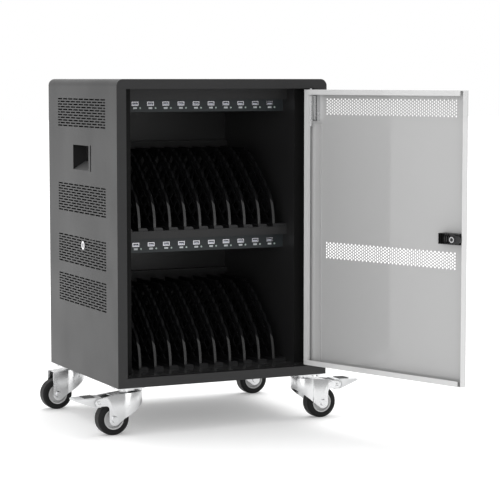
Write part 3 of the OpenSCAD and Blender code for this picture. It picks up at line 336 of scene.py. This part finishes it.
def settle(piece):
    # moves an object's place, turn and size into its mesh
    pick(piece)
    bpy.ops.object.transform_apply(location=True, rotation=True, scale=True)


def copiesOf(piece, places, name):
    # copies a finished shape to each place and joins the copies into one piece
    copies = []
    for place in places:
        pick(piece)
        bpy.ops.object.duplicate(linked=False)
        copy = bpy.context.object
        copy.location = place
        settle(copy)
        copies.append(copy)
    bpy.data.objects.remove(piece, do_unlink=True)
    return joined(copies, name)


# door: the panel between the lips is a darker tone than the folded frame

doorPan = {"inner": 0.0012, "depth": 0.0006, "panel": (0.40, 0.40, 0.40)}


def makeDoorCoat():
    finish = powderCoat("doorCoat", doorFrameLook)
    tree = finish.node_tree
    shader = tree.nodes["Principled BSDF"]
    frameTone = shader.inputs["Base Color"].links[0].from_socket
    opened = math.radians(-doorHinge["range_deg"][0])
    inward = Vector((-math.sin(opened), math.cos(opened), 0))  # out of the open door's inner face
    skin = min(v.co.dot(inward) for v in nodes["door_skin"].data.vertices)
    place = tree.nodes.new("ShaderNodeTexCoord")
    height = tree.nodes.new("ShaderNodeVectorMath")
    height.operation = "DOT_PRODUCT"
    height.inputs[1].default_value = inward
    tree.links.new(place.outputs["Object"], height.inputs[0])
    onPanel = tree.nodes.new("ShaderNodeMath")
    onPanel.operation = "COMPARE"
    onPanel.inputs[1].default_value = skin + doorPan["inner"]
    onPanel.inputs[2].default_value = doorPan["depth"]
    tree.links.new(height.outputs["Value"], onPanel.inputs[0])
    mixed = tree.nodes.new("ShaderNodeMix")
    mixed.data_type = "RGBA"
    mixed.inputs["B"].default_value = (*doorPan["panel"], 1)
    tree.links.new(onPanel.outputs["Value"], mixed.inputs["Factor"])
    tree.links.new(frameTone, mixed.inputs["A"])
    tree.links.new(mixed.outputs["Result"], shader.inputs["Base Color"])
    nodes["door_skin"].data.materials[0] = finish


# latch: grip ribs along the cam and the body, and a slotted black disc on the turning nut, painted shade for the
# nut's socket

latchTurn = [j for j in frame["joints"] if j["name"] == "latch_turn"][0]
latchAxis = Vector(latchTurn["axis"])  # out of the door's inner face
latchPlace = Vector(latchTurn["pos_m"])
rib = {"onCam": (0.0125, 0.0185, 0.0245), "onBody": (0.0315, 0.0372, 0.0429), "width": 0.0026, "share": 0.9,
       "proud": 0.0016, "round": 0.0006}
# the black disc on the latch nut is painted shade for the nut's socket
nutShade = {"radius": 0.0040, "proud": 0.0004, "slotRim": 0.0016, "slotShare": 0.35, "slotDepth": 0.0012,
        "round": 0.0002, "sides": 32, "middle": 1e-4}


def onDoor(piece, along, out):
    # stands a piece made about the origin, its +Z outwards, on the door beside the latch's axis
    sideways = Vector((0, 0, 1)).cross(latchAxis)
    turn = Matrix((sideways, Vector((0, 0, 1)), latchAxis)).transposed().to_4x4()
    piece.matrix_world = Matrix.Translation(latchPlace + sideways * along + latchAxis * out) @ turn
    settle(piece)


def reach(node):
    # how far a node stands out along the latch's axis
    return max((v.co - latchPlace).dot(latchAxis) for v in nodes[node].data.vertices)


def makeLatchRibs(name, node, places):
    ribs = []
    low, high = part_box(node)
    for along in places:
        bpy.ops.object.select_all(action="DESELECT")
        bpy.ops.mesh.primitive_cube_add(size=1)
        bar = bpy.context.object
        bar.scale = (rib["width"], rib["share"] * (high.z - low.z), 2 * rib["proud"])
        settle(bar)
        choose(bar, "EDGE", lambda middle, normal: middle.z > rib["proud"] / 2)
        bpy.ops.mesh.bevel(offset=rib["round"], segments=3, affect="EDGES")
        editing(False)
        onDoor(bar, -along, reach(node))
        ribs.append(bar)
    grip = joined(ribs, name)
    grip.data.materials.append(gripRubber)
    bindTo(grip, bodyOf[node], "black_plastic")


def makeLatchShadeDisc():
    bpy.ops.object.select_all(action="DESELECT")
    bpy.ops.mesh.primitive_cylinder_add(vertices=nutShade["sides"], radius=nutShade["radius"],
                                        depth=2 * nutShade["proud"])
    disc = bpy.context.object
    disc.name = "latchShadeDisc"
    choose(disc, "FACE", lambda middle, normal: normal.z > 0.9)
    bpy.ops.mesh.bevel(offset=nutShade["round"], segments=2, affect="EDGES")
    editing(False)
    choose(disc, "FACE", lambda middle, normal: normal.z > 0.99 and middle.xy.length < nutShade["middle"])
    bpy.ops.mesh.inset(thickness=nutShade["slotRim"])
    bpy.ops.transform.resize(value=(1, nutShade["slotShare"], 1))
    bpy.ops.mesh.extrude_region_move(TRANSFORM_OT_translate={"value": (0, 0, -nutShade["slotDepth"])})
    editing(False)
    smooth(disc, 40)
    onDoor(disc, 0, reach("latch_shaft"))
    disc.data.materials.append(blackPlastic)
    bindTo(disc, "latch", "black_plastic")


makeDoorCoat()
makeLatchRibs("camRibs", "latch_cam", rib["onCam"])
makeLatchRibs("latchBodyRibs", "latch_body", rib["onBody"])
makeLatchShadeDisc()
print("door and latch dressed")


# dividers: the upright front edge is painted lighter and satin, a painted highlight; the rest is painted darker
# and dull, as painted shade

# how high and how deep the painted highlight reaches on the dividers' front faces
litFront = {"rise": 0.066, "depth": 0.012}


def makeDividers(name, node):
    row = fromNode(name, node, dividerShadePlastic, dissolve=False)
    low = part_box(node)[0]
    paint(row, litFrontPlastic, lambda middle, normal: normal.y < -0.5 and middle.z < low.z + litFront["rise"]
          and middle.y < low.y + litFront["depth"])


makeDividers("upperDividers", "upper_dividers")
makeDividers("lowerDividers", "lower_dividers")
print("dividers dressed")


# back panel: the inner face is painted darker than the outer one, as painted shade

back = {"sheet": 0.0012}


def makeBackPanel():
    panel = fromNode("backPanel", "back_panel", cabinetCoat)
    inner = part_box("back_panel")[1].y - back["sheet"] / 2
    paint(panel, backShadeCoat, lambda middle, normal: middle.y < inner)


# inner walls, in the darker inner coat: the flange that closes each duct and the duct side are painted near black
# and dull, as painted shade
def makeInnerWall(name, node):
    wall = fromNode(name, node, innerShadeCoat)
    outward = math.copysign(1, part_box(node)[0].x)
    paint(wall, flangeShadeCoat, lambda middle, normal: normal.y < -0.9 or normal.x * outward > 0.9)


makeBackPanel()
makeInnerWall("leftInnerWall", "left_inner_wall")
makeInnerWall("rightInnerWall", "right_inner_wall")


# handle cups: painted dark inside as painted shade, with the upward faces painted lighter as painted light

def makeHandleCup(name, node):
    cup = fromNode(name, node, innerShadeCoat)
    paint(cup, cupFloorLitCoat, lambda middle, normal: normal.z > 0.3)


makeHandleCup("leftHandleCup", "left_handle_cup")
makeHandleCup("rightHandleCup", "right_handle_cup")


# sockets: bright bezels with throats painted black as painted shade, a blank tag and a small lens below each

ports = {"count": 10, "pitch": 0.0385, "heights": (0.753, 0.4255), "face": -0.1095, "lensDx": 0.013,
         "drop": 0.010}
tag = {"width": 0.0096, "height": 0.0042, "thick": 0.0005, "round": 0.0006, "rim": 0.0003, "dish": 0.0001}
tongue = {"width": 0.0112, "height": 0.0030, "drop": 0.0012, "length": 0.008, "round": 0.0004}
lensDome = {"radius": 0.0018, "rise": 0.0007, "rim": 0.0022, "sides": 20}


def portPlaces(dx, dz):
    return [((i - (ports["count"] - 1) / 2) * ports["pitch"] + dx, ports["face"], z + dz)
            for z in ports["heights"] for i in range(ports["count"])]


def makeSockets():
    sockets = fromNode("usbSockets", "usb_ports", shellSteel)
    # faces behind the socket face are painted black, as painted shade in the throats
    paint(sockets, blackPlastic, lambda middle, normal: middle.y > ports["face"] + mergeGap)


def makeTongues():
    bpy.ops.object.select_all(action="DESELECT")
    bpy.ops.mesh.primitive_cube_add(size=1)
    blade = bpy.context.object
    blade.scale = (tongue["width"], tongue["length"], tongue["height"])
    blade.location = (0, tongue["length"] / 2, 0)
    settle(blade)
    choose(blade, "EDGE", lambda middle, normal: abs(middle.y) < onPlane)
    bpy.ops.mesh.bevel(offset=tongue["round"], segments=2, affect="EDGES")
    editing(False)
    blade.data.materials.append(tonguePlastic)
    blades = copiesOf(blade, portPlaces(0, -tongue["drop"]), "socketTongues")
    bindTo(blades, "cabinet", "black_plastic")


def makeTags():
    bpy.ops.object.select_all(action="DESELECT")
    bpy.ops.mesh.primitive_cube_add(size=1)
    plate = bpy.context.object
    plate.scale = (tag["width"], tag["thick"], tag["height"])
    settle(plate)
    choose(plate, "EDGE", lambda middle, normal: abs(abs(middle.x) - tag["width"] / 2) < onPlane
           and abs(middle.y) < onPlane)
    bpy.ops.mesh.bevel(offset=tag["round"], segments=3, affect="EDGES")
    editing(False)
    choose(plate, "FACE", lambda middle, normal: normal.y < -0.9)
    bpy.ops.mesh.inset(thickness=tag["rim"], depth=tag["dish"])
    editing(False)
    plate.data.materials.append(tagPlastic)
    tags = copiesOf(plate, portPlaces(0, -ports["drop"]), "portTags")
    bindTo(tags, "cabinet", "black_plastic")


def makeLenses():
    bpy.ops.object.select_all(action="DESELECT")
    bpy.ops.mesh.primitive_cylinder_add(vertices=lensDome["sides"], radius=lensDome["rim"],
                                        depth=lensDome["rise"], rotation=(math.radians(90), 0, 0))
    lens = bpy.context.object
    settle(lens)
    choose(lens, "FACE", lambda middle, normal: normal.y < -0.9)
    bpy.ops.mesh.inset(thickness=lensDome["rim"] - lensDome["radius"])
    bpy.ops.mesh.extrude_region_move(TRANSFORM_OT_translate={"value": (0, -lensDome["rise"] / 2, 0)})
    bpy.ops.mesh.bevel(offset=lensDome["rise"] / 3, segments=3, affect="EDGES")
    editing(False)
    smooth(lens, 50)
    lens.data.materials.append(lightLens)
    lenses = copiesOf(lens, portPlaces(ports["lensDx"], -ports["drop"]), "statusLenses")
    bindTo(lenses, "cabinet", "light_lens", "port_lights")


makeSockets()
makeTongues()
makeTags()
makeLenses()
print("sockets, tags and lenses made")


# back panel's screws: low pan heads with a crossed recess

screw = {"inset": 0.014, "perSide": 5, "radius": 0.0042, "height": 0.0022, "crown": 0.0010,
         "slotLength": 0.0046, "slotWidth": 0.0011, "slotDepth": 0.0011, "sides": 28}


def makeScrews():
    bpy.ops.object.select_all(action="DESELECT")
    bpy.ops.mesh.primitive_cylinder_add(vertices=screw["sides"], radius=screw["radius"],
                                        depth=screw["height"], location=(0, screw["height"] / 2, 0),
                                        rotation=(math.radians(-90), 0, 0))
    head = bpy.context.object
    settle(head)
    choose(head, "EDGE", lambda middle, normal: abs(middle.y - screw["height"]) < onPlane)
    bpy.ops.mesh.bevel(offset=screw["crown"], segments=4, affect="EDGES")
    editing(False)
    for size in ((screw["slotLength"], screw["slotWidth"]), (screw["slotWidth"], screw["slotLength"])):
        bpy.ops.object.select_all(action="DESELECT")
        bpy.ops.mesh.primitive_cube_add(size=1, location=(0, screw["height"], 0))
        cutter = bpy.context.object
        cutter.scale = (size[0], 2 * screw["slotDepth"], size[1])
        settle(cutter)
        pick(head)
        cut = head.modifiers.new("recess", "BOOLEAN")
        cut.operation = "DIFFERENCE"
        cut.object = cutter
        bpy.ops.object.modifier_apply(modifier=cut.name)
        bpy.data.objects.remove(cutter, do_unlink=True)
    smooth(head, 40)
    head.data.materials.append(cabinetCoat)
    low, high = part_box("back_panel")
    step = (high.z - low.z - 3 * screw["inset"]) / (screw["perSide"] - 1)
    places = [(x, high.y, low.z + screw["inset"] + i * step)
              for x in (low.x + screw["inset"], high.x - screw["inset"]) for i in range(screw["perSide"])]
    heads = copiesOf(head, places, "backScrewHeads")
    bindTo(heads, "cabinet", "coat", "back_screws")


# casters: pressed forks and pedals with round edges, ribbed pads on the pedals

caster = {"edge": 0.0008, "pedalEdge": 0.0009, "swivelX": 0.229, "swivelY": -0.1895}
pad = {"start": 0.0850, "length": 0.025, "width": 0.032, "thick": 0.0014, "rib": 0.0008, "strips": 11,
       "top": 0.0905, "fall": 1.91, "edge": 0.0002}


def labelOf(corner):
    return corner.replace("_l", "L").replace("_r", "R")


def makeForks():
    for corner in ("front_left", "front_right", "rear_left", "rear_right"):
        fork = fromNode(labelOf(corner) + "Fork", corner + "_fork", brightZinc)
        soften(fork, caster["edge"])


def makePedals():
    for corner, side in (("front_left", -1), ("front_right", 1)):
        pedal = fromNode(labelOf(corner) + "Pedal", corner + "_pedal", pedalZinc)
        soften(pedal, caster["pedalEdge"])
        bpy.ops.object.select_all(action="DESELECT")
        bpy.ops.mesh.primitive_grid_add(x_subdivisions=pad["strips"], y_subdivisions=1, size=1)
        tread = bpy.context.object
        tread.name = labelOf(corner) + "PedalPad"
        tread.scale = (pad["length"], pad["width"], 1)
        settle(tread)
        editing(True)
        bpy.ops.mesh.select_all(action="SELECT")
        bpy.ops.mesh.extrude_region_move(TRANSFORM_OT_translate={"value": (0, 0, pad["thick"])})
        bpy.ops.mesh.select_all(action="SELECT")
        bpy.ops.mesh.normals_make_consistent(inside=False)
        editing(False)
        strip = pad["length"] / pad["strips"]
        choose(tread, "FACE", lambda middle, normal: normal.z > 0.9 and middle.z > pad["thick"] / 2
               and int((middle.x + pad["length"] / 2) / strip) % 2 == 0)
        bpy.ops.mesh.extrude_faces_move(TRANSFORM_OT_shrink_fatten={"value": pad["rib"]})
        editing(False)
        soften(tread, pad["edge"])
        tread.rotation_euler = (0, math.radians(side * pad["fall"]), 0)
        along = caster["swivelX"] + pad["start"] + pad["length"] / 2
        tread.location = (side * along, caster["swivelY"], pad["top"])
        settle(tread)
        tread.data.materials.append(padRubber)
        bindTo(tread, corner + "_brake", "tyre")


makeScrews()
makeForks()
makePedals()
print("screws and casters dressed")


# stage: floor, light and camera

studio = {"floorSize": 60, "floorTone": 0.93, "floorWander": 0.01, "floorGrain": 40, "floorGlow": 0.2,
          "skyTone": 1.0, "frontTone": 0.45, "frontWay": (0.42, -0.9, 0), "frontStart": 0.3,
          "topPower": 1.4, "topTurn": (-18, 15, 0), "topSpread": 50,
          "fillPower": 0.6, "fillWay": (0.5, 0.9, -0.3), "fillSpread": 40}
shot = {"place": (-1.8037, -4.1563, 0.8122), "tilt": 90 - 5.23, "turn": -25.44, "length": 135.23,
        "sensor": 36}


def buildStage():
    bpy.ops.object.select_all(action="DESELECT")
    bpy.ops.mesh.primitive_plane_add(size=studio["floorSize"])
    floor = bpy.context.object
    floor.name = "floor"
    paper, tree, shader, place = newFinish("floorPaper")
    fibre = grain(tree, place, studio["floorGrain"], 3)
    tone = studio["floorTone"]
    paleness = tones(tree, fibre, (tone - studio["floorWander"],) * 3, (tone,) * 3)
    tree.links.new(paleness, shader.inputs["Base Color"])
    shader.inputs["Roughness"].default_value = 0.9
    shader.inputs["Specular IOR Level"].default_value = 0.1
    shader.inputs["Emission Color"].default_value = (1, 1, 1, 1)
    shader.inputs["Emission Strength"].default_value = studio["floorGlow"]
    floor.data.materials.append(paper)

    sky = bpy.data.worlds.new("sky")
    sky.use_nodes = True
    glow = sky.node_tree.nodes["Background"]
    glow.inputs["Color"].default_value = (1, 1, 1, 1)
    way = sky.node_tree.nodes.new("ShaderNodeTexCoord")
    facing = sky.node_tree.nodes.new("ShaderNodeVectorMath")  # how far a direction points to the front
    facing.operation = "DOT_PRODUCT"
    facing.inputs[1].default_value = studio["frontWay"]
    fade = sky.node_tree.nodes.new("ShaderNodeMapRange")
    fade.inputs["From Min"].default_value = studio["frontStart"]
    fade.inputs["From Max"].default_value = 1.0
    fade.inputs["To Min"].default_value = studio["skyTone"]
    fade.inputs["To Max"].default_value = studio["frontTone"]
    sky.node_tree.links.new(way.outputs["Generated"], facing.inputs[0])
    sky.node_tree.links.new(facing.outputs["Value"], fade.inputs["Value"])
    sky.node_tree.links.new(fade.outputs["Result"], glow.inputs["Strength"])
    bpy.context.scene.world = sky

    bpy.ops.object.light_add(type="SUN", rotation=[math.radians(a) for a in studio["topTurn"]])
    top = bpy.context.object
    top.data.energy = studio["topPower"]
    top.data.angle = math.radians(studio["topSpread"])

    fillTurn = Vector(studio["fillWay"]).to_track_quat("-Z", "Y").to_euler()
    bpy.ops.object.light_add(type="SUN", rotation=fillTurn)
    fill = bpy.context.object
    fill.data.energy = studio["fillPower"]
    fill.data.angle = math.radians(studio["fillSpread"])

    aim = (math.radians(shot["tilt"]), 0, math.radians(shot["turn"]))
    bpy.ops.object.camera_add(location=shot["place"], rotation=aim)
    camera = bpy.context.object
    camera.data.lens = shot["length"]
    camera.data.sensor_width = shot["sensor"]
    bpy.context.scene.camera = camera
    bpy.context.scene.view_settings.view_transform = "Standard"


buildStage()
print("stage and camera set")
